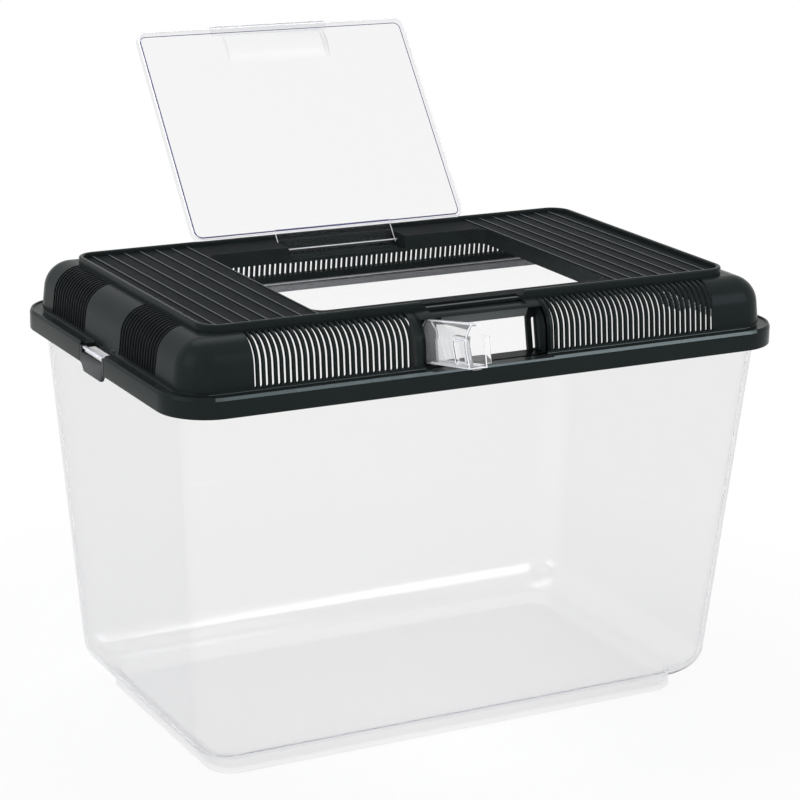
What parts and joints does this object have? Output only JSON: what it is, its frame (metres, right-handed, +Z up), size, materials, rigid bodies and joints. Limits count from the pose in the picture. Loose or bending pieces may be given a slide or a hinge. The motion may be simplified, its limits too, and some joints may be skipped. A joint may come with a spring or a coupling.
{
  "type": "pet keeper",
  "caption": "Clear tapered keeper tub with a slotted black lid that clips down over it, a hinged clear top door and a clear feeding door, both doors standing open.",
  "frame": {"origin": "middle of the flat base that the tub stands on", "axes": "+Z up, +X to the right along the length, the front with the feeding door faces -Y"},
  "size_m": [0.4, 0.3697, 0.3931],
  "materials": {
    "clear_tub": "clear, polished",
    "clear_door": "clear, polished",
    "black_plastic": "satin"
  },
  "bodies": {
    "tub": {"tub": "clear_tub"},
    "lid": {"lid": "black_plastic"},
    "top_door": {"top_door": "clear_door"},
    "feeding_door": {"feeding_door": "clear_door"},
    "left_latch": {"left_latch": "black_plastic"},
    "right_latch": {"right_latch": "black_plastic"}
  },
  "joints": [
    {"name": "lid_lift", "type": "slide", "parent": "tub", "child": "lid", "axis": [0, 0, 1], "range_m": [0, 0.15]},
    {"name": "top_door_hinge", "type": "hinge", "parent": "lid", "child": "top_door", "pos_m": [0, 0.0815, 0.2661], "axis": [1, 0, 0], "range_deg": [0, 128.3]},
    {"name": "feeding_door_hinge", "type": "hinge", "parent": "lid", "child": "feeding_door", "pos_m": [-0.0359, -0.1112, 0.2404], "axis": [0, 0.2079, 0.9781], "range_deg": [0, 98]},
    {"name": "left_latch_flex", "type": "hinge", "parent": "lid", "child": "left_latch", "pos_m": [-0.1988, 0, 0.2379], "axis": [0, 1, 0], "range_deg": [0, 12], "stiffness_Nm_per_rad": 0.05},
    {"name": "right_latch_flex", "type": "hinge", "parent": "lid", "child": "right_latch", "pos_m": [0.1988, 0, 0.2379], "axis": [0, -1, 0], "range_deg": [0, 12], "stiffness_Nm_per_rad": 0.05}
  ]
}
